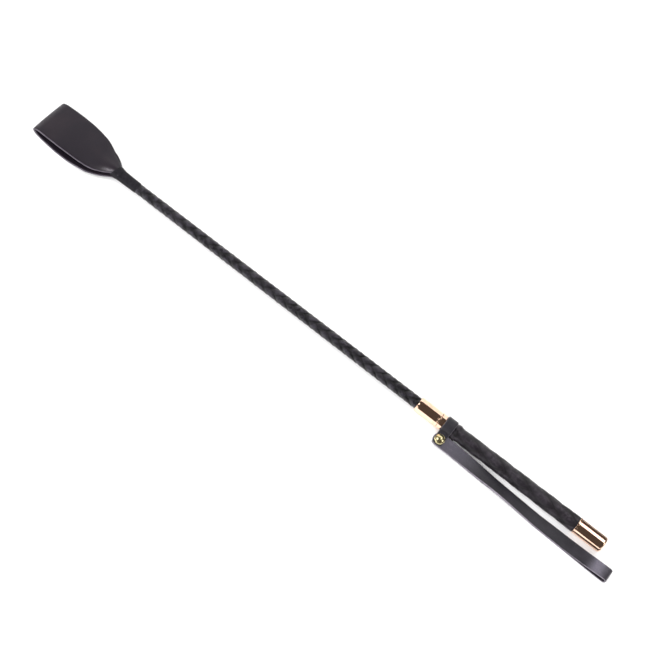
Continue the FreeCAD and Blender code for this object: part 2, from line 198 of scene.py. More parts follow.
def make_flag():
    """Narrow black card behind the butt cap, seen only in its polish."""
    near, far = CAP_FRONT - 0.02, CAP_END + 0.05
    behind, top = 0.03, 0.004
    corners = [(near, behind, FLOOR), (far, behind, FLOOR), (far, behind, top), (near, behind, top)]
    flag = plain_sheet("black_flag", corners, "black_felt", (0.01, 0.009, 0.008), 1.0, 0.5)
    flag.visible_camera = False
    flag.visible_diffuse = False
    flag.visible_shadow = False


def softbox(name, place, aim, size, brightness, mirrored=True):
    """Rectangular lamp of even brightness that looks at aim. One that is not mirrored gives no highlight."""
    light = bpy.data.lights.new(name, "AREA")
    light.shape = "RECTANGLE"
    light.size, light.size_y = size
    light.energy = brightness * math.pi * size[0] * size[1]
    lamp = bpy.data.objects.new(name, light)
    lamp.location = place
    lamp.rotation_mode = "QUATERNION"
    lamp.rotation_quaternion = (Vector(place) - Vector(aim)).normalized().to_track_quat("Z", "Y")
    lamp.visible_camera = False
    lamp.visible_glossy = mirrored
    bpy.context.collection.objects.link(lamp)


def make_light():
    """White wall behind the crop, a dim warm room in front and overhead, and soft washes for the table."""
    world = bpy.data.worlds.new("studio")
    world.use_nodes = True
    background = world.node_tree.nodes["Background"]
    background.inputs["Color"].default_value = (1.0, 0.86, 0.78, 1)
    background.inputs["Strength"].default_value = 0.08
    bpy.context.scene.world = world
    softbox("white_wall", (-2.25, 1.7, 1.62), (-2.25, 0.0, 1.62), (4.5, 3.3), 1.25)
    softbox("cap_overhead", (0.31, 0.68, 1.5), (0.31, 0.68, 0), (0.44, 1.16), 2.6)
    softbox("upper_left_card", (-1.5, -0.75, 1.5), (-0.3, 0, 0), (0.9, 0.9), 3.6)
    softbox("low_front_card", (-1.2, -1.3, 0.35), (-0.4, 0, 0), (1.5, 0.35), 1.6)
    softbox("right_card", (2.0, 0.2, 1.5), (0, 0, 0), (1.0, 0.8), 3.2)
    softbox("top_wash", (-0.3, 0.15, 2.2), (-0.3, 0, 0), (2.6, 1.8), 2.3, False)
    softbox("front_wash", (-0.5, -1.6, 1.7), (-0.3, 0, 0), (2.6, 1.6), 5.2, False)
    bpy.context.scene.view_settings.view_transform = "Standard"


# ---------------------------------------------------------------- node tree helpers

class Tree:
    """Short way to write one node tree, in materials, groups and Geometry Nodes alike."""

    def __init__(self, tree):
        self.tree = tree

    def node(self, kind, inputs=None, **settings):
        made = self.tree.nodes.new(kind)
        for name, value in settings.items():
            setattr(made, name, value)
        for name, value in (inputs or {}).items():
            self.feed(made.inputs[name], value)
        return made

    def feed(self, socket, value):
        if isinstance(value, bpy.types.NodeSocket):
            self.tree.links.new(value, socket)
        else:
            socket.default_value = value

    def math(self, operation, *values):
        made = self.tree.nodes.new("ShaderNodeMath")
        made.operation = operation
        for socket, value in zip(made.inputs, values):
            self.feed(socket, value)
        return made.outputs[0]

    def add(self, a, b):
        return self.math("ADD", a, b)

    def sub(self, a, b):
        return self.math("SUBTRACT", a, b)

    def mul(self, a, b):
        return self.math("MULTIPLY", a, b)

    def div(self, a, b):
        return self.math("DIVIDE", a, b)

    def mix(self, factor, a, b):
        made = self.node("ShaderNodeMix", data_type="RGBA")
        self.feed(made.inputs[0], factor)
        self.feed(made.inputs[6], a)
        self.feed(made.inputs[7], b)
        return made.outputs[2]

    def ramp(self, value, low, high, from_low=0.0, from_high=1.0, smooth=False):
        made = self.node("ShaderNodeMapRange")
        made.interpolation_type = "SMOOTHSTEP" if smooth else "LINEAR"
        for socket, item in zip(made.inputs, (value, from_low, from_high, low, high)):
            self.feed(socket, item)
        return made.outputs[0]

    def noise(self, place, scale, detail=2.0, distortion=0.0):
        inputs = {"Vector": place, "Scale": scale, "Detail": detail, "Distortion": distortion}
        return self.node("ShaderNodeTexNoise", inputs).outputs["Fac"]

    def bump(self, height, strength, distance):
        inputs = {"Height": height, "Strength": strength, "Distance": distance}
        return self.node("ShaderNodeBump", inputs).outputs["Normal"]

    def attribute(self, name):
        return self.node("ShaderNodeAttribute", attribute_name=name).outputs["Fac"]

    def store(self, geometry, name, value, **settings):
        inputs = {"Geometry": geometry, "Name": name, "Value": value}
        return self.node("GeometryNodeStoreNamedAttribute", inputs, **settings).outputs[0]

    def round_axis(self, along, reach, angle):
        """Position at a place along the crop, a reach from its axis and an angle round it."""
        y = self.mul(reach, self.math("COSINE", angle))
        z = self.mul(reach, self.math("SINE", angle))
        return self.node("ShaderNodeCombineXYZ", {"X": along, "Y": y, "Z": z}).outputs[0]


def group_tree(name, inputs, outputs, kind="ShaderNodeTree"):
    """Node group with sockets of these types, its tree helper, what it is given and what it puts out."""
    group = bpy.data.node_groups.new(name, kind)
    for socket, socket_type in inputs.items():
        group.interface.new_socket(socket, in_out="INPUT", socket_type=socket_type)
    for socket, socket_type in outputs.items():
        group.interface.new_socket(socket, in_out="OUTPUT", socket_type=socket_type)
    tree = Tree(group)
    start = group.nodes.new("NodeGroupInput")
    finish = group.nodes.new("NodeGroupOutput")
    return group, tree, start.outputs, finish.inputs


# ---------------------------------------------------------------- shared material effects

SURFACE = {"Color": "NodeSocketColor", "Roughness": "NodeSocketFloat", "Normal": "NodeSocketVector"}


def leather_skin_group():
    """Hide: cloudy dye, pebbled grain with painted shade in its valleys, fine pores and creases, paler cut
    edges where cut_edge is 1, paler marks that are wear and painted highlight, and painted shade on plaited
    laces.
    """
    inputs = dict.fromkeys(("Dye", "Worn dye", "Cut edge", "Rubbed"), "NodeSocketColor")
    inputs |= dict.fromkeys(("Grain size", "Grain depth", "Gloss", "Evenness"), "NodeSocketFloat")
    group, t, given, out = group_tree("leather_skin", inputs, SURFACE)
    place = t.node("ShaderNodeTexCoord").outputs["Object"]
    per_metre = t.div(1.0, t.mul(given["Grain size"], MM))
    cells = t.node("ShaderNodeTexVoronoi", {"Vector": place, "Scale": per_metre, "Randomness": 0.9})
    cells.feature = "DISTANCE_TO_EDGE"
    pebble = t.ramp(cells.outputs["Distance"], 0.0, 1.0, 0.0, 0.22, smooth=True)
    creases = t.noise(place, 260.0, 6.0, 0.8)
    cloud = t.noise(place, 38.0, 3.0)
    pores = t.noise(place, 4200.0, 2.0)
    patchy = t.ramp(cloud, 0.0, 1.0, 0.42, 0.68, smooth=True)
    base = t.mix(patchy, given["Dye"], given["Worn dye"])
    scuffs = t.ramp(creases, 0.0, 1.0, 0.4, 0.62, smooth=True)
    # Paler colour where the mask is set, broken up by the creases: real wear in places and painted highlight
    # in others.
    paler_with_highlight = t.mul(t.attribute("paler_and_highlight"), t.math("MAXIMUM", scuffs, given["Evenness"]))
    base = t.mix(paler_with_highlight, base, given["Rubbed"])
    # Painted shade: the grain's valleys are darkened in the colour.
    valley = t.ramp(pebble, 0.72, 1.0)
    shaded = t.node("ShaderNodeMix", data_type="RGBA", blend_type="MULTIPLY")
    shaded.inputs[0].default_value = 1.0
    t.feed(shaded.inputs[6], base)
    grey = t.node("ShaderNodeCombineColor", {"Red": valley, "Green": valley, "Blue": valley})
    t.feed(shaded.inputs[7], grey.outputs[0])
    edge, painted_lace_shade = t.attribute("cut_edge"), t.attribute("painted_lace_shade")
    rough_edge = t.mul(edge, t.ramp(creases, 0.55, 1.0, 0.35, 0.65))
    edged = t.mix(rough_edge, shaded.outputs[2], given["Cut edge"])
    # Painted shade: near black where the laces dive under each other and at their edges. The same mask also
    # roughens them.
    t.feed(out["Color"], t.mix(t.mul(painted_lace_shade, 0.9), edged, (0.002, 0.002, 0.002, 1)))
    rough = t.add(given["Gloss"], t.ramp(cloud, -0.05, 0.07, 0.3, 0.7))
    rough = t.add(rough, t.mul(t.sub(1.0, pebble), 0.10))
    t.feed(out["Roughness"], t.add(rough, t.add(t.mul(edge, 0.18), t.mul(painted_lace_shade, 0.35))))
    height = t.add(t.mul(pebble, 0.6), t.mul(creases, 0.8))
    height = t.add(height, t.mul(pores, 0.25))
    t.feed(out["Normal"], t.bump(height, given["Grain depth"], 0.00025))
    return group


def handled_metal_group():
    """Polished plate that hands have touched: faint polishing lines round the piece, smears and small dings.
    """
    inputs = {"Plate": "NodeSocketColor", "Tarnish": "NodeSocketColor", "Polish": "NodeSocketFloat"}
    group, t, given, out = group_tree("handled_metal", inputs, SURFACE)
    place = t.node("ShaderNodeTexCoord").outputs["Object"]
    smear = t.noise(place, 160.0, 5.0, 1.2)
    stretched = t.node("ShaderNodeMapping", {"Vector": place, "Scale": (9000.0, 250.0, 250.0)})
    lines = t.noise(stretched.outputs[0], 1.0, 2.0)
    dull = t.ramp(smear, 0.0, 1.0, 0.45, 0.75, smooth=True)
    t.feed(out["Color"], t.mix(t.mul(dull, 0.35), given["Plate"], given["Tarnish"]))
    t.feed(out["Roughness"], t.add(given["Polish"], t.mul(dull, 0.04)))
    height = t.add(t.mul(lines, 0.2), t.mul(smear, 0.5))
    t.feed(out["Normal"], t.bump(height, 0.02, 0.00005))
    return group


LEATHER_SKIN = leather_skin_group()
HANDLED_METAL = handled_metal_group()


def principled(name, **fixed):
    """New material, its tree helper and its shader, with uniform values set on the shader's own sockets."""
    material = bpy.data.materials.new(name)
    material.use_nodes = True
    shader = material.node_tree.nodes["Principled BSDF"]
    for socket, value in fixed.items():
        shader.inputs[socket.replace("_", " ")].default_value = value
    return material, Tree(material.node_tree), shader


def skinned(name, group, fixed, inputs):
    """Material that takes its whole surface from a shared group. Colours are given as three numbers."""
    material, t, shader = principled(name, **fixed)
    skin = t.node("ShaderNodeGroup", node_tree=group)
    for socket, value in inputs.items():
        full = (*value, 1) if isinstance(value, tuple) else value
        skin.inputs[socket.replace("_", " ")].default_value = full
    for socket, output in (("Base Color", "Color"), ("Roughness", "Roughness"), ("Normal", "Normal")):
        t.feed(shader.inputs[socket], skin.outputs[output])
    return material


def leather(name, specular, **inputs):
    return skinned(name, LEATHER_SKIN, {"Specular_IOR_Level": specular}, inputs)


def plated(name, **inputs):
    return skinned(name, HANDLED_METAL, {"Metallic": 1.0}, inputs)


def waxed_thread():
    """Twisted thread: fine fibres, matt, with a little wax shine."""
    material, t, shader = principled("waxed_thread", Sheen_Weight=0.05, Specular_IOR_Level=0.2)
    place = t.node("ShaderNodeTexCoord").outputs["Object"]
    fibre = t.noise(place, 3800.0, 3.0)
    patch = t.noise(place, 420.0, 2.0)
    lit = t.ramp(t.add(t.mul(fibre, 0.6), t.mul(patch, 0.4)), 0.0, 1.0, 0.35, 0.65)
    t.feed(shader.inputs["Base Color"], t.mix(lit, (0.002, 0.002, 0.003, 1), (0.022, 0.020, 0.025, 1)))
    t.feed(shader.inputs["Roughness"], t.ramp(fibre, 0.6, 0.85))
    t.feed(shader.inputs["Normal"], t.bump(fibre, 0.4, 0.0001))
    return material


def speckled(name, first, second, scale, rough):
    """Plain material of a hidden piece, with the mottle of its stuff."""
    material, t, shader = principled(name)
    place = t.node("ShaderNodeTexCoord").outputs["Object"]
    mottle = t.noise(place, scale, 5.0)
    t.feed(shader.inputs["Base Color"], t.mix(mottle, (*first, 1), (*second, 1)))
    t.feed(shader.inputs["Roughness"], t.ramp(mottle, rough, rough + 0.15))
    t.feed(shader.inputs["Normal"], t.bump(mottle, 0.2, 0.0001))
    return material


# The flap's pale grey colour for its marks is wear along the fold and a painted highlight on the curl by the
# neck.
FLAP_HIDE = leather(
    "flap_hide", 0.38, Dye=(0.0105, 0.0075, 0.0125), Worn_dye=(0.0165, 0.0115, 0.0165),
    Cut_edge=(0.105, 0.093, 0.115), Rubbed=(0.15, 0.138, 0.155), Evenness=0.5,
    Grain_size=0.55, Grain_depth=0.16, Gloss=0.36,
)
# On the plaited shaft and grip the paler colour lies on the lace crests: wear and a painted highlight.
LACE_HIDE = leather(
    "lace_hide", 0.42, Dye=(0.006, 0.0050, 0.0070), Worn_dye=(0.013, 0.011, 0.015),
    Cut_edge=(0.03, 0.027, 0.03), Rubbed=(0.042, 0.038, 0.049),
    Grain_size=0.45, Grain_depth=0.2, Gloss=0.27,
)
GRIP_HIDE = leather(
    "grip_hide", 0.5, Dye=(0.008, 0.0062, 0.0090), Worn_dye=(0.014, 0.0115, 0.016),
    Cut_edge=(0.02, 0.018, 0.02), Rubbed=(0.034, 0.028, 0.036),
    Grain_size=0.6, Grain_depth=0.18, Gloss=0.36,
)
COLLAR_HIDE = leather(
    "collar_hide", 0.45, Dye=(0.014, 0.013, 0.017), Worn_dye=(0.026, 0.024, 0.031),
    Cut_edge=(0.14, 0.13, 0.15), Rubbed=(0.06, 0.040, 0.034),
    Grain_size=0.5, Grain_depth=0.18, Gloss=0.40,
)
# The strap's pale colour for its marks is laid near the rivet, and as a painted highlight before the loop's
# end.
STRAP_HIDE = leather(
    "strap_hide", 0.5, Dye=(0.015, 0.0135, 0.018), Worn_dye=(0.025, 0.022, 0.029),
    Cut_edge=(0.26, 0.235, 0.275), Rubbed=(0.17, 0.155, 0.20), Evenness=0.8,
    Grain_size=0.5, Grain_depth=0.16, Gloss=0.34,
)
ROSE_GOLD = plated("rose_gold", Plate=(0.97, 0.68, 0.51), Tarnish=(0.72, 0.42, 0.26), Polish=0.05)
RIVET_BRASS = plated("rivet_brass", Plate=(0.90, 0.80, 0.46), Tarnish=(0.52, 0.46, 0.20), Polish=0.24)
WAXED_THREAD = waxed_thread()
GLASS_FIBRE = speckled("glass_fibre", (0.03, 0.03, 0.032), (0.06, 0.06, 0.06), 900.0, 0.45)
FORMER_WOOD = speckled("former_wood", (0.34, 0.22, 0.12), (0.52, 0.36, 0.2), 120.0, 0.6)
BUSH_PLASTIC = speckled("bush_plastic", (0.02, 0.02, 0.02), (0.04, 0.04, 0.04), 700.0, 0.5)


# ---------------------------------------------------------------- mesh helpers

def new_piece(name, points, faces, material, marks=None):
    """Smooth mesh object at the origin. marks holds one value for each point under an attribute's name."""
    mesh = bpy.data.meshes.new(name)
    mesh.from_pydata([tuple(p) for p in points], [], faces)
    mesh.materials.append(material)
    for mark, values in (marks or {}).items():
        attribute = mesh.attributes.new(mark, "FLOAT", "POINT")
        attribute.data.foreach_set("value", np.asarray(values, np.float32))
    mesh.shade_smooth()
    piece = bpy.data.objects.new(name, mesh)
    bpy.context.collection.objects.link(piece)
    return piece


def smooth_step(share):
    share = np.clip(share, 0.0, 1.0)
    return share * share * (3 - 2 * share)


def smooth_line(points, count):
    """Evenly stepped Catmull-Rom line through the points."""
    p = np.array(points, float)
    p = np.vstack([2 * p[0] - p[1], p, 2 * p[-1] - p[-2]])
    fine = []
    for i in range(1, len(p) - 2):
        for t in np.linspace(0, 1, 40, endpoint=False):
            a = -p[i - 1] + 3 * p[i] - 3 * p[i + 1] + p[i + 2]
            b = 2 * p[i - 1] - 5 * p[i] + 4 * p[i + 1] - p[i + 2]
            c = p[i + 1] - p[i - 1]
            fine.append(0.5 * (a * t ** 3 + b * t ** 2 + c * t + 2 * p[i]))
    fine = np.array(fine + [p[-2]])
    gone = np.concatenate([[0], np.cumsum(np.linalg.norm(np.diff(fine, axis=0), axis=1))])
    wanted = np.linspace(0, gone[-1], count)
    return np.column_stack([np.interp(wanted, gone, fine[:, k]) for k in range(fine.shape[1])])


def heading(line, i):
    """Unit direction of a line at its point i."""
    ahead = line[min(i + 1, len(line) - 1)] - line[max(i - 1, 0)]
    return ahead / np.linalg.norm(ahead)


def rounded_outline(points, corner, steps=5):
    """Open outline with each inner corner made a small curve, and short flats kept beside it."""
    p = [np.array(q, float) for q in points]
    line = [p[0]]
    for before, here, after in zip(p, p[1:], p[2:]):
        into = before - here
        away = after - here
        cut = min(corner, 0.45 * np.linalg.norm(into), 0.45 * np.linalg.norm(away))
        start = here + into / np.linalg.norm(into) * cut
        stop = here + away / np.linalg.norm(away) * cut
        line.append(start + into / np.linalg.norm(into) * cut * 0.12)
        for t in np.linspace(0, 1, steps):
            line.append((1 - t) ** 2 * start + 2 * t * (1 - t) * here + t ** 2 * stop)
        line.append(stop + away / np.linalg.norm(away) * cut * 0.12)
    line.append(p[-1])
    return line


def rounded_loop(outline, corner):
    """Closed outline with every corner rounded, also the one where it meets itself."""
    first = (np.array(outline[0]) + np.array(outline[-1])) / 2
    return rounded_outline([first, *outline, first], corner)[:-1]


def revolved(name, line, material, sides=160):
    """Closed solid of revolution about +X from a closed line of (x, radius), which may touch the axis."""
    points, starts = [], []
    for x, r in line:
        starts.append(len(points))
        for k in range(sides if r > 1e-9 else 1):
            angle = 2 * math.pi * k / sides
            points.append((x, r * math.cos(angle), r * math.sin(angle)))
    faces = []
    rows = len(line)
    for i in range(rows):
        j = (i + 1) % rows
        on_axis = line[i][1] < 1e-9, line[j][1] < 1e-9
        if all(on_axis):
            continue
        for k in range(sides):
            n = (k + 1) % sides
            a = (starts[i],) if on_axis[0] else (starts[i] + k, starts[i] + n)
            b = (starts[j],) if on_axis[1] else (starts[j] + n, starts[j] + k)
            faces.append(a + b)
    piece = new_piece(name, points, faces, material)
    make_outward(piece)
    return piece


def make_outward(piece):
    """Turn every face of a closed piece outward."""
    work = bmesh.new()
    work.from_mesh(piece.data)
    bmesh.ops.recalc_face_normals(work, faces=work.faces)
    work.to_mesh(piece.data)
    work.free()


def band_section(columns=9, bends=4):
    """Rounded strap section as (side, across, through, edge), where side -1..1 picks the point's corner."""
    section = []
    for half, top in ((1, 1), (-1, -1)):
        for u in np.linspace(-1, 1, columns):
            section.append((u * half, 0.0, top, 0.0))
        for k in range(1, bends):
            angle = math.pi / 2 - math.pi * k / bends
            section.append((half, math.cos(angle) * half, math.sin(angle) * half, 1.0))
    return section


def swept_band(name, rings, material, edge_round=0.45, columns=9, cup=None, paler_marks=None):
    """Strap through rings of (centre, across, normal, width, thickness), its edges rounded and marked."""
    section = band_section(columns)
    points, edges, paler_and_highlight = [], [], []
    for i, (centre, across, normal, width, thickness) in enumerate(rings):
        r = min(thickness * edge_round, width * 0.4)
        for u, out_u, out_v, edge in section:
            side = u * (width / 2 - r) + out_u * r
            lift = out_v * r + math.copysign(thickness / 2 - r, out_v) if out_v else 0.0
            if cup is not None:
                lift += cup(i, side / (width / 2))
            points.append(Vector(centre) + Vector(across) * side + Vector(normal) * lift)
            edges.append(edge)
            # Paler marks for each point, which stand for wear and painted highlights, go to the leather's
            # colour.
            paler_and_highlight.append(paler_marks(i, side / (width / 2)) if paler_marks else 0.0)
    size = len(section)
    faces = []
    for i in range(len(rings) - 1):
        for k in range(size):
            n = (k + 1) % size
            faces.append((i * size + k, i * size + n, (i + 1) * size + n, (i + 1) * size + k))
    faces.append(tuple(range(size)))
    last = (len(rings) - 1) * size
    faces.append(tuple(reversed(range(last, last + size))))
    piece = new_piece(name, points, faces, material, {"cut_edge": edges, "paler_and_highlight": paler_and_highlight})
    make_outward(piece)
    return piece


# ---------------------------------------------------------------- plaited laces, by Geometry Nodes

def plait_tree():
    """Flat laces wound both ways round a tapered core, each over and under the ones it meets."""
    numbers = (
        "Step", "Start", "Stop", "Lead", "Over", "Front radius", "Rear radius", "Taper from", "Taper to",
        "Lace width", "Lace thickness", "Lift", "Steepness", "Crown", "Pinch", "Wobble", "Turned by",
        "Tuck depth", "Tuck length", "Roll rise", "Roll place", "Roll width",
    )
    inputs = dict.fromkeys(numbers, "NodeSocketFloat")
    inputs |= {"Laces each way": "NodeSocketInt", "Material": "NodeSocketMaterial"}
    geometry = {"Geometry": "NodeSocketGeometry"}
    group, t, given, out = group_tree("plaited_laces", inputs, geometry, "GeometryNodeTree")

    # One straight lace bar, which remembers where along and where across each point is.
    line = t.node("GeometryNodeCurvePrimitiveLine")
    t.feed(line.inputs["Start"], t.node("ShaderNodeCombineXYZ", {"X": given["Start"]}).outputs[0])
    t.feed(line.inputs["End"], t.node("ShaderNodeCombineXYZ", {"X": given["Stop"]}).outputs[0])
    rail = t.node(
        "GeometryNodeResampleCurve", {"Curve": line.outputs[0], "Length": given["Step"]}, mode="LENGTH"
    )
    rail_x = t.node("ShaderNodeSeparateXYZ", {0: t.node("GeometryNodeInputPosition").outputs[0]}).outputs[0]
    circle = t.node("GeometryNodeCurvePrimitiveCircle", {"Resolution": 14, "Radius": 1.0})
    around = t.node("ShaderNodeSeparateXYZ", {0: t.node("GeometryNodeInputPosition").outputs[0]})
    profile = t.store(circle.outputs[0], "across", around.outputs[0])
    profile = t.store(profile, "through", around.outputs[1])
    rail = t.store(rail.outputs[0], "along", rail_x)
    bar = t.node("GeometryNodeCurveToMesh", {"Curve": rail, "Profile Curve": profile, "Fill Caps": True})

    # As many copies as there are laces, numbered, then made real.
    both = t.mul(given["Laces each way"], 2.0)
    seats = t.node("GeometryNodePoints", {"Count": both})
    copies = t.node("GeometryNodeInstanceOnPoints", {"Points": seats.outputs[0], "Instance": bar.outputs[0]})
    number = t.node("GeometryNodeInputIndex").outputs[0]
    numbered = t.store(copies.outputs[0], "lace", number, domain="INSTANCE")
    real = t.node("GeometryNodeRealizeInstances", {"Geometry": numbered})

    def read(name):
        return t.node("GeometryNodeInputNamedAttribute", {"Name": name}).outputs[0]

    along, across, through, lace = read("along"), read("across"), read("through"), read("lace")
    way = t.sub(1.0, t.mul(2.0, t.math("FLOOR", t.div(t.add(lace, 0.5), given["Laces each way"]))))
    place = t.math("MODULO", t.add(lace, 0.25), given["Laces each way"])
    place = t.sub(place, 0.25)

    # Outer radius of the plait: taper, the roll at its start, and the squeeze of its tucked ends.
    outer = t.ramp(along, given["Front radius"], given["Rear radius"], given["Taper from"], given["Taper to"])
    from_roll = t.div(t.sub(along, given["Roll place"]), given["Roll width"])
    roll = t.mul(given["Roll rise"], t.math("EXPONENT", t.mul(-1.0, t.mul(from_roll, from_roll))))
    tucked_from = t.sub(given["Taper from"], given["Tuck length"])
    tucked_to = t.add(given["Taper to"], given["Tuck length"])
    front_tuck = t.ramp(along, 1.0, 0.0, tucked_from, given["Taper from"], True)
    rear_tuck = t.ramp(along, 0.0, 1.0, given["Taper to"], tucked_to, True)
    tuck = t.mul(given["Tuck depth"], t.add(front_tuck, rear_tuck))
    half = t.mul(given["Lace thickness"], 0.5)
    middle = t.sub(t.sub(t.add(outer, roll), tuck), t.add(given["Lift"], half))

    # Slant of the lace on the core, then where the point lies: along, and round in turns.
    slant = t.math("ARCTAN2", t.mul(middle, 2 * math.pi), given["Lead"])
    soft = t.mul(t.math("SIGN", across), t.math("POWER", t.math("ABSOLUTE", across), 0.8))
    centre_turn = t.add(t.mul(way, t.div(along, given["Lead"])), t.div(place, given["Laces each way"]))
    half_width = t.mul(given["Lace width"], 0.5)

    def crossing(turn, axial):
        met = t.mul(t.add(turn, t.mul(way, t.div(axial, given["Lead"]))), given["Laces each way"])
        swing = t.mul(math.pi, t.div(t.add(t.add(place, met), 0.5), given["Over"]))
        wave = t.math("TANH", t.mul(given["Steepness"], t.math("SINE", swing)))
        return t.mul(way, t.div(wave, t.math("TANH", given["Steepness"])))

    rough_wave = crossing(centre_turn, along)
    narrow = t.sub(1.0, t.mul(given["Pinch"], t.sub(1.0, t.math("ABSOLUTE", rough_wave))))
    width = t.mul(t.mul(half_width, soft), narrow)
    axial = t.sub(along, t.mul(way, t.mul(width, t.math("SINE", slant))))
    sideways = t.div(t.mul(width, t.math("COSINE", slant)), t.mul(middle, 2 * math.pi))
    turn = t.add(centre_turn, sideways)
    lift = t.mul(given["Lift"], crossing(turn, axial))

    # Small unevenness of hand work.
    spot = t.node("ShaderNodeCombineXYZ", {"X": t.mul(along, 90.0), "Y": t.mul(lace, 7.3)}).outputs[0]
    wobble = t.mul(given["Wobble"], t.mul(2.0, t.sub(t.noise(spot, 1.0, 1.0), 0.5)))
    edge_thin = t.sub(1.0, t.mul(given["Crown"], t.mul(across, across)))
    raised = t.add(t.mul(t.mul(half, through), edge_thin), wobble)
    reach = t.add(t.add(middle, lift), raised)
    spun = t.round_axis(axial, reach, t.mul(2 * math.pi, t.add(turn, given["Turned by"])))
    wound = t.node("GeometryNodeSetPosition", {"Geometry": real.outputs[0], "Position": spun})
    # Painted shade: the laces' edges and the stretch where each dives under another, to be darkened nearly to
    # black.
    edge = t.math("POWER", t.math("ABSOLUTE", across), 4.0)
    over = crossing(turn, axial)
    dive = t.ramp(over, 1.0, 0.0, -0.6, 0.6, True)
    marked = t.store(wound.outputs[0], "painted_lace_shade", t.math("MAXIMUM", edge, dive))
    # Crest where a lace rides over another, made paler: wear and a painted highlight.
    crest = t.mul(t.ramp(over, 0.0, 1.0, 0.2, 1.0, True), t.sub(1.0, t.mul(across, across)))
    marked = t.store(marked, "paler_and_highlight", crest)
    smooth = t.node("GeometryNodeSetShadeSmooth", {"Geometry": marked})
    dressed = t.node("GeometryNodeSetMaterial", {"Geometry": smooth.outputs[0], "Material": given["Material"]})
    t.feed(out["Geometry"], dressed.outputs[0])
    return group


def whipping_tree():
    """Thread wound side by side over a tapered neck, its first turns lying slanted on the flap."""
    numbers = (
        "Front", "Rear", "Front radius", "Shoulder radius", "Rear radius", "Shoulder", "Thread", "Pitch",
        "Slant", "Slant angle",
    )
    inputs = dict.fromkeys(numbers, "NodeSocketFloat") | {"Material": "NodeSocketMaterial"}
    geometry = {"Geometry": "NodeSocketGeometry"}
    group, t, given, out = group_tree("wound_thread", inputs, geometry, "GeometryNodeTree")
    turns = t.div(t.sub(given["Rear"], given["Front"]), given["Pitch"])
    count = t.mul(turns, 28.0)
    line = t.node("GeometryNodeCurvePrimitiveLine")
    t.feed(line.inputs["End"], (1.0, 0.0, 0.0))
    rail = t.node("GeometryNodeResampleCurve", {"Curve": line.outputs[0], "Count": count})
    share = t.node("GeometryNodeSplineParameter").outputs["Factor"]
    angle = t.mul(t.mul(share, turns), 2 * math.pi)
    first = t.ramp(share, given["Front radius"], given["Shoulder radius"], 0.0, given["Shoulder"], True)
    second = t.ramp(share, 0.0, t.sub(given["Rear radius"], given["Shoulder radius"]), given["Shoulder"], 1.0)
    spot = t.node("ShaderNodeCombineXYZ", {"X": t.mul(angle, 0.9)}).outputs[0]
    uneven = t.mul(0.00016, t.sub(t.noise(spot, 1.0), 0.5))
    reach = t.add(t.sub(t.add(first, second), t.mul(given["Thread"], 0.5)), uneven)
    lean = t.math("COSINE", t.sub(angle, given["Slant angle"]))
    slanted = t.mul(t.mul(given["Slant"], lean), t.sub(1.0, share))
    axial = t.add(t.ramp(share, given["Front"], given["Rear"]), slanted)
    wound = t.round_axis(axial, reach, angle)
    coil = t.node("GeometryNodeSetPosition", {"Geometry": rail.outputs[0], "Position": wound})
    circle = t.node(
        "GeometryNodeCurvePrimitiveCircle", {"Resolution": 8, "Radius": t.mul(given["Thread"], 0.5)}
    )
    thread = t.node(
        "GeometryNodeCurveToMesh",
        {"Curve": coil.outputs[0], "Profile Curve": circle.outputs[0], "Fill Caps": True},
    )
    smooth = t.node("GeometryNodeSetShadeSmooth", {"Geometry": thread.outputs[0]})
    real = t.node("GeometryNodeRealizeInstances", {"Geometry": smooth.outputs[0]})
    dressed = t.node("GeometryNodeSetMaterial", {"Geometry": real.outputs[0], "Material": given["Material"]})
    t.feed(out["Geometry"], dressed.outputs[0])
    return group


def grown(name, tree, values):
    """Mesh object from a Geometry Nodes tree with these input values, its modifier gone."""
    seed = bpy.data.objects.new(name + "_seed", bpy.data.meshes.new(name + "_seed"))
    bpy.context.collection.objects.link(seed)
    modifier = seed.modifiers.new("grow", "NODES")
    modifier.node_group = tree
    for item in tree.interface.items_tree:
        if item.in_out == "INPUT" and item.name in values:
            modifier[item.identifier] = values[item.name]
    bpy.context.view_layer.update()
    depsgraph = bpy.context.evaluated_depsgraph_get()
    mesh = bpy.data.meshes.new_from_object(seed.evaluated_get(depsgraph), depsgraph=depsgraph)
    bpy.data.objects.remove(seed)
    mesh.name = name
    piece = bpy.data.objects.new(name, mesh)
    bpy.context.collection.objects.link(piece)
    make_outward(piece)
    return piece


PLAIT = plait_tree()
WHIPPING = whipping_tree()


def shaft_laces():
    piece = grown("plaited_shaft", PLAIT, {
        "Start": BINDING_REAR - 0.004, "Stop": FERRULE_FRONT + 0.006, "Step": 0.0007,
        "Lead": 0.048, "Laces each way": 4, "Over": 2.0,
        "Front radius": SHAFT_FRONT_R + 0.0006, "Rear radius": SHAFT_REAR_R + 0.00055,
        "Taper from": BINDING_REAR, "Taper to": FERRULE_FRONT,
        "Lace width": 0.0058, "Lace thickness": 0.0017, "Lift": 0.0006, "Steepness": 1.8, "Crown": 0.75,
        "Turned by": 142.5 / 360, "Tuck depth": 0.0006, "Tuck length": 0.002,
        "Pinch": 0.16, "Wobble": 0.00016, "Material": LACE_HIDE,
    })
    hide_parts("shaft_plait")
    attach(piece, "crop")


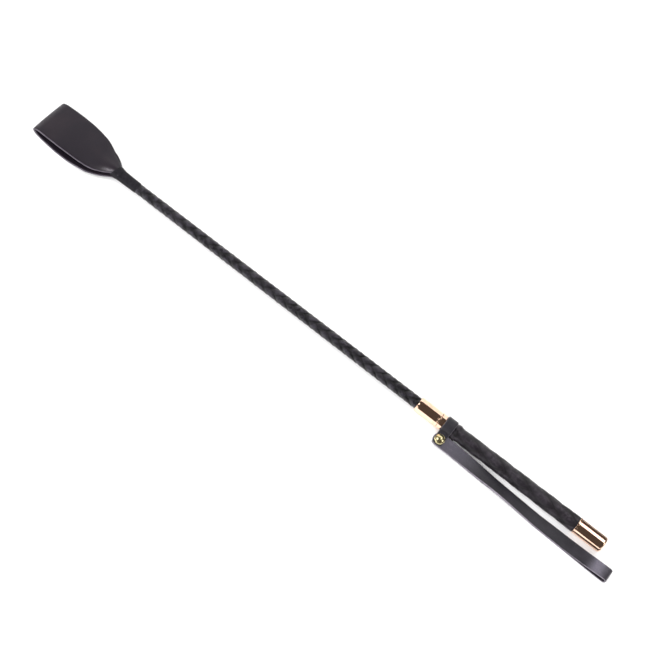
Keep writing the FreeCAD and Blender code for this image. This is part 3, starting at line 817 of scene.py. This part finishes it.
def grip_laces():
    piece = grown("plaited_grip", PLAIT, {
        "Start": FERRULE_REAR + 0.001, "Stop": CAP_FRONT + 0.010, "Step": 0.0008,
        "Lead": 0.104, "Laces each way": 4, "Over": 2.0,
        "Front radius": GRIP_FRONT_R + 0.0005, "Rear radius": GRIP_REAR_R + 0.0005,
        "Taper from": GRIP_FRONT, "Taper to": CAP_FRONT,
        "Lace width": 0.0105, "Lace thickness": 0.0013, "Lift": 0.00036, "Steepness": 1.5, "Crown": 0.6,
        "Turned by": (144 - 67.5) / 360, "Tuck depth": 0.0003, "Tuck length": 0.001,
        "Roll rise": 0.00085, "Roll place": GRIP_FRONT + 0.0019, "Roll width": 0.0016,
        "Pinch": 0.05, "Wobble": 0.0001, "Material": GRIP_HIDE,
    })
    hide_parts("grip_plait")
    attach(piece, "crop")


def neck_thread():
    piece = grown("wound_neck", WHIPPING, {
        "Front": BINDING_FRONT, "Rear": BINDING_REAR + 0.0003, "Front radius": 0.0063,
        "Shoulder radius": 0.0052, "Rear radius": 0.00488, "Shoulder": 0.34,
        "Thread": 0.00052, "Pitch": 0.00044, "Slant": 0.0022, "Slant angle": math.radians(30),
        "Material": WAXED_THREAD,
    })
    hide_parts("neck_binding")
    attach(piece, "crop")


# ---------------------------------------------------------------- flap

# Cut edges of the flap in millimetres: place along the crop, and distance from the flap's middle line.
FLAP_BACK_EDGE = (
    (-604, 19.8), (-590, 20.4), (-580, 20.8), (-567, 20.8), (-558, 20.1), (-550, 19.0), (-545, 17.7),
    (-540, 16.0), (-535, 14.0), (-531, 12.2), (-527.4, 9.8), (-525, 7.6), (-523, 6.0), (-520, 5.0),
)
TOP_LEAF_EDGE = (
    (-604, 17.9), (-590, 18.3), (-575, 18.2), (-565, 17.6), (-556, 16.9), (-548, 15.8), (-542, 14.1),
    (-536, 11.5), (-532, 8.7), (-529, 6.1), (-526, 4.9), (-520, 4.0),
)
LOWER_LEAF_EDGE = (
    (-604, 18.4), (-590, 19.2), (-576, 20.0), (-560, 19.6), (-546, 17.8), (-538, 15.0), (-533, 12.2),
    (-529, 9.2), (-526, 6.6), (-523, 4.6), (-520, 3.8),
)
FOLD_SKEW = math.radians(8.2)
FLAP_YAW = math.radians(3.2)
FLAP_HEIGHT = 10.0 * MM
BACK_DROOP = 2.6 * MM
TOP_LEAF_DROOP = 0.9 * MM
LOWER_LEAF_DROOP = 1.4 * MM
NECK_FOLDS = 0.16 * MM
LEAF_CROWN = 0.3 * MM
CORNER_CURL = 1.5 * MM


def edge_at(edge, x):
    """Distance of a flap edge from its middle line, in metres, eased over 4 mm so the cut has no corners."""
    stations, widths = np.array(edge).T * MM
    return float(np.mean(np.interp(x + np.linspace(-2.0, 2.0, 9) * MM, stations, widths)))


def folded_flap():
    """One strip, folded: neck, top leaf, fold, lower leaf, neck. It bends where it leaves the binding."""
    half = LEAF / 2
    fold_x = FOLD + 0.6 * MM + half
    end_x = BINDING_FRONT + 5 * MM
    hinge = HINGE_X - 1.0 * MM
    reach = hinge - fold_x
    floor = FLOOR + half
    top = FLOOR + FLAP_HEIGHT - half
    # Middle of the leather seen from the side, from the neck over the top leaf and the fold, and back below.
    side_view = [
        (end_x, 2.9 * MM), (hinge, 1.9 * MM),
        (hinge - 0.30 * reach, top), (hinge - 0.62 * reach, top - 0.3 * MM),
        (fold_x + 0.11 * reach, top - 1.6 * MM), (fold_x + 0.03 * reach, top - 2.9 * MM),
        (fold_x, (top + floor) / 2 - 0.9 * MM), (fold_x + 0.03 * reach, floor + 1.5 * MM),
        (fold_x + 0.12 * reach, floor + 0.1 * MM), (fold_x + 0.32 * reach, floor + 0.06 * MM),
        (fold_x + 0.54 * reach, floor + 0.6 * MM), (hinge - 0.22 * reach, floor + 3.2 * MM),
        (hinge, -1.9 * MM), (end_x, -2.9 * MM),
    ]
    line = smooth_line(side_view, 280)
    fold_at = int(np.argmin(line[:, 0]))
    skew = math.tan(FOLD_SKEW)
    yaw = math.tan(FLAP_YAW)
    rings, gather, paler_marks = [], [], []
    for i, (x, z) in enumerate(line):
        ahead = heading(line, i)
        straight = 1 - float(smooth_step((x - (hinge - 0.6 * reach)) / (0.6 * reach)))
        back_side = edge_at(FLAP_BACK_EDGE, x)
        top_leaf = 1 - float(smooth_step((i - fold_at + 12) / 24))
        front_side = top_leaf * edge_at(TOP_LEAF_EDGE, x) + (1 - top_leaf) * edge_at(LOWER_LEAF_EDGE, x)
        across = Vector((skew * straight, 1, 0))
        centre = Vector((x, max(0.0, HINGE_X - x) * yaw, z)) + across * (back_side - front_side) / 2
        rings.append((centre, across, Vector((-ahead[1], 0, ahead[0])), back_side + front_side, LEAF))
        gather.append(float(smooth_step((x - (hinge - 0.26 * reach)) / (0.24 * reach))))
        paler_marks.append(math.exp(-((x - fold_x) / (2.6 * MM)) ** 2))

    def cup(i, u):
        near = gather[i]
        top_leaf = i < fold_at
        hang = BACK_DROOP if u > 0 else (TOP_LEAF_DROOP if top_leaf else LOWER_LEAF_DROOP)
        round_core = hang * near * u * u
        folds = -NECK_FOLDS * near * math.cos(7.5 * u + 0.8)
        crown = LEAF_CROWN * u * u * (1 - near)
        curl = CORNER_CURL * math.exp(-((near - 0.85) / 0.32) ** 2) * max(0.0, (-u - 0.35) / 0.65) ** 2
        return round_core + folds + crown - (curl if top_leaf else 0.0)

    # Paler colour: wear along the fold, and a painted highlight on the top leaf's curl by the neck.
    def paler_with_highlight(i, u):
        curl_highlight = math.exp(-((gather[i] - 1.0) / 0.12) ** 2 - ((u + 0.68) / 0.17) ** 2)
        return min(1.0, 0.3 * paler_marks[i] + (curl_highlight if i < fold_at else 0.0))

    piece = swept_band("folded_flap", rings, FLAP_HIDE, 0.42, 31, cup, paler_with_highlight)
    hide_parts("flap", "flap_tail")
    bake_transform(piece)


# ---------------------------------------------------------------- collar, rivet and strap

def tab_point(x, reach, lift):
    """Point on the sloping tab: reach from the crop's axis, lift above the tab's middle."""
    out = Vector((0, -math.cos(TAB_SLOPE), -math.sin(TAB_SLOPE)))
    up = Vector((0, -math.sin(TAB_SLOPE), math.cos(TAB_SLOPE)))
    return Vector((x, 0, 0)) + out * reach + up * lift


def collar():
    """Band in keyhole form: down one side of the tab, round the handle and back along the other side."""
    middle = (COLLAR_FRONT + COLLAR_REAR) / 2
    width = COLLAR_REAR - COLLAR_FRONT
    ring_r = radius("grip_seizing_front") + COLLAR_CLEARANCE + BAND / 2
    leaf = TAB_SPLIT + BAND / 2
    route = [(TAB_END, leaf), (15 * MM, leaf), (11.5 * MM, leaf), (9.3 * MM, leaf + 0.02 * MM)]
    for degrees in range(24, 337, 12):
        angle = math.radians(degrees)
        route.append((ring_r * math.cos(angle), ring_r * math.sin(angle)))
    route += [(9.3 * MM, -leaf - 0.02 * MM), (11.5 * MM, -leaf), (15 * MM, -leaf), (TAB_END, -leaf)]
    line = smooth_line(route, 220)
    rings = []
    for i, (reach, lift) in enumerate(line):
        ahead = heading(line, i)
        centre = tab_point(middle, reach, lift)
        normal = tab_point(0, -ahead[1], ahead[0])
        into = max(0.0, min(TAB_CORNER, reach - (TAB_END - TAB_CORNER)))
        narrowed = width - 2 * (TAB_CORNER - math.sqrt(max(TAB_CORNER ** 2 - into ** 2, 0.0)))
        thin = BAND * (0.55 if i in (0, len(line) - 1) else 1.0)
        rings.append((centre, Vector((1, 0, 0)), normal, narrowed, thin))
    piece = swept_band("collar_and_tab", rings, COLLAR_HIDE, 0.4, 9)
    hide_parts("collar_band")
    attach(piece, "collar")


def place_on_rivet(piece):
    """Turn a piece made about +X, its base at x = 0, to stand on the tab round the rivet."""
    turn = Vector((1, 0, 0)).rotation_difference(tab_point(0, 0, 1))
    piece.data.transform(Matrix.Translation(RIVET) @ turn.to_matrix().to_4x4())


def rivet():
    """Domed head on the tab and a flat washer behind it."""
    ball = (DOME_R ** 2 + DOME_HEIGHT ** 2) / (2 * DOME_HEIGHT)
    dome = [(RIVET_BASE, 0.0), (RIVET_BASE, DOME_R), (RIVET_BASE + 0.3 * MM, DOME_R)]
    widest = math.degrees(math.asin((DOME_R - 0.15 * MM) / ball))
    for degrees in np.arange(widest - 2, 0, -4.0):
        tilt = math.radians(degrees)
        dome.append((RIVET_BASE + DOME_HEIGHT - ball * (1 - math.cos(tilt)), ball * math.sin(tilt)))
    dome.append((RIVET_BASE + DOME_HEIGHT, 0.0))
    piece = revolved("rivet_dome", rounded_outline(dome, 0.12 * MM, 4), RIVET_BRASS, 72)
    place_on_rivet(piece)
    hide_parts("rivet_head")
    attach(piece, "collar")
    far = -RIVET_BASE - WASHER_HEIGHT
    back = [
        (far, 0.0), (far, WASHER_R - 0.5 * MM), (far + WASHER_HEIGHT / 2, WASHER_R),
        (-RIVET_BASE, WASHER_R), (-RIVET_BASE, 0.0),
    ]
    piece = revolved("rivet_washer", rounded_outline(back, 0.25 * MM, 4), RIVET_BRASS, 72)
    place_on_rivet(piece)
    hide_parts("rivet_back")
    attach(piece, "collar")


def strap():
    """One strap doubled: the lower layer out from the rivet, round the open end, and the upper layer back."""
    thick = BAND
    stack = 2 * thick + LAYER_GAP
    end_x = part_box("wrist_strap")[1].x
    free_x = RIVET.x + STRAP_LEAVES_TAB
    reach = end_x - RIVET.x
    bend_x = end_x - LOOP_GAP / 2 - thick
    low_z = FLOOR + stack / 2

    def middle(x):
        drift = smooth_step((x - free_x) / (end_x - free_x))
        fall = smooth_step((x - free_x) / STRAP_FALL_LENGTH)
        share = (x - RIVET.x) / reach
        back = math.exp(-((share - LEAN_BACK_AT) / LEAN_SPREAD) ** 2)
        out = math.exp(-((share - LEAN_OUT_AT) / LEAN_SPREAD) ** 2)
        lean = fall * math.radians(LEAN_OUT * out - LEAN_BACK * back)
        low = low_z + STRAP_WIDTH / 2 * abs(math.sin(lean))
        y = RIVET.y - STRAP_DRIFT * drift
        return y, RIVET.z + fall * (low - RIVET.z), (1 - fall) * TAB_SLOPE + lean

    def layer_gap(x):
        share = (x - RIVET.x) / reach
        return LAYER_GAP + (LOOP_GAP - LAYER_GAP) * smooth_step((share - LOOP_OPENS_AT) / (1 - LOOP_OPENS_AT))

    def ring(x, lift, turn, narrow=1.0, shift=0.0):
        y, z, tilt = middle(x)
        across = Vector((0, math.cos(tilt), math.sin(tilt)))
        up = Vector((0, -math.sin(tilt), math.cos(tilt)))
        normal = Vector((-math.sin(turn), 0, 0)) + up * math.cos(turn)
        centre = Vector((x, y, z)) + up * lift + across * shift
        return centre, across, normal, STRAP_WIDTH * narrow, thick

    low = (LAYER_GAP + thick) / 2
    bend_r = (layer_gap(bend_x) + thick) / 2
    stations = np.linspace(RIVET.x - STRAP_END_REACH, bend_x, 170)

    def rounded_end(x):
        past = max(0.0, RIVET.x - x) / (STRAP_WIDTH / 2)
        return math.sqrt(max(0.05, 1 - past * past))

    def sway(x):
        free = float(smooth_step((x - free_x) / (30 * MM)))
        return STRAP_SWAY * math.sin((x - RIVET.x) * 55.0) * free

    # Paler near the rivet, and a painted highlight where the upper layer curves down before the loop's end.
    def paler_near_rivet_and_highlight(x):
        near = 1 - float(smooth_step((x - RIVET.x - 12 * MM) / (38 * MM)))
        patch = math.exp(-((x - bend_x + 9 * MM) / (6.5 * MM)) ** 2)
        return min(1.0, 0.40 * near + 0.85 * patch)

    rings = [ring(x, -low, 0.0, rounded_end(x)) for x in stations]
    paler_marks = [0.0] * len(rings)
    for k in range(1, 16):
        turn = math.pi * k / 16
        rings.append(ring(bend_x + bend_r * math.sin(turn), -low + bend_r * (1 - math.cos(turn)), turn))
        paler_marks.append(0.12)
    rings += [
        ring(x, -low + layer_gap(x) + thick, math.pi, rounded_end(x), sway(x)) for x in reversed(stations)
    ]
    paler_marks += [paler_near_rivet_and_highlight(x) for x in reversed(stations)]
    piece = swept_band("wrist_loop", rings, STRAP_HIDE, 0.42, 11, None, lambda i, u: paler_marks[i])
    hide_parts("wrist_strap")
    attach(piece, "strap")


# ---------------------------------------------------------------- turned metal

def ferrule():
    """Sleeve with a rounded front lip and a bead near its rear."""
    r = FERRULE_R
    bead = FERRULE_REAR - BEAD_FROM_REAR
    inner = SHAFT_REAR_R + 0.3 * MM
    outline = [(FERRULE_FRONT, inner), (FERRULE_FRONT, r - 1.0 * MM)]
    for degrees in range(10, 91, 8):
        angle = math.radians(degrees)
        x = FERRULE_FRONT + FERRULE_LIP * (1 - math.cos(angle))
        outline.append((x, r - FERRULE_WALL * (1 - math.sin(angle))))
    outline += [(FERRULE_FRONT + 4.0 * MM, r), (bead - BEAD_HALF - 0.2 * MM, r)]
    for degrees in range(0, 181, 12):
        angle = math.radians(degrees)
        outline.append((bead - BEAD_HALF * math.cos(angle), r + BEAD_STAND * math.sin(angle)))
    outline += [
        (bead + BEAD_HALF + 0.2 * MM, r), (FERRULE_REAR - 0.3 * MM, r), (FERRULE_REAR, r - 0.25 * MM),
        (FERRULE_REAR, r - FERRULE_WALL), (FERRULE_FRONT + FERRULE_WALL, r - FERRULE_WALL),
        (FERRULE_FRONT + FERRULE_WALL, inner),
    ]
    piece = revolved("polished_ferrule", rounded_loop(outline, 0.05 * MM), ROSE_GOLD)
    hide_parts("ferrule")
    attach(piece, "crop")


def butt_cap():
    """Closed cup with a raised rim and a rounded end edge."""
    r = CAP_R
    rim = radius("butt_cap")
    edge = CAP_EDGE_R
    bore = r - CAP_WALL
    bevel = 0.25 * MM
    outline = [
        (CAP_FRONT, bore), (CAP_FRONT, rim - bevel), (CAP_FRONT + bevel, rim),
        (CAP_FRONT + CAP_RIM_WIDTH - bevel, rim), (CAP_FRONT + CAP_RIM_WIDTH, r),
        (CAP_FRONT + CAP_RIM_WIDTH + 0.6 * MM, r), (CAP_END - edge - 0.3 * MM, r),
    ]
    for degrees in range(0, 91, 10):
        angle = math.radians(degrees)
        outline.append((CAP_END - edge + edge * math.sin(angle), r - edge + edge * math.cos(angle)))
    outline += [(CAP_END, r - edge - 0.4 * MM), (CAP_END, 0.0)]
    inner = [(CAP_END - CAP_END_WALL, 0.0), (CAP_END - CAP_END_WALL, bore), outline[0]]
    line = rounded_outline(outline, 0.12 * MM) + rounded_outline(inner, 0.12 * MM)[:-1]
    piece = revolved("polished_butt_cap", line, ROSE_GOLD)
    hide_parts("butt_cap")
    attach(piece, "crop")


# ---------------------------------------------------------------- hidden pieces that stay as the CAD has them

def dress_hidden_pieces():
    """Give each piece that shows no face outside the material of its stuff."""
    finishes = {
        "core_rod": GLASS_FIBRE, "grip_former": FORMER_WOOD, "ferrule_bush": BUSH_PLASTIC,
        "shaft_seizing": WAXED_THREAD, "grip_seizing_front": WAXED_THREAD, "grip_seizing_rear": WAXED_THREAD,
    }
    for node, material in finishes.items():
        for slot in frame["nodes"][node].material_slots:
            slot.material = material


make_camera()
make_floor()
make_flag()
make_light()
shaft_laces()
grip_laces()
neck_thread()
folded_flap()
collar()
rivet()
strap()
ferrule()
butt_cap()
dress_hidden_pieces()

bpy.context.view_layer.update()
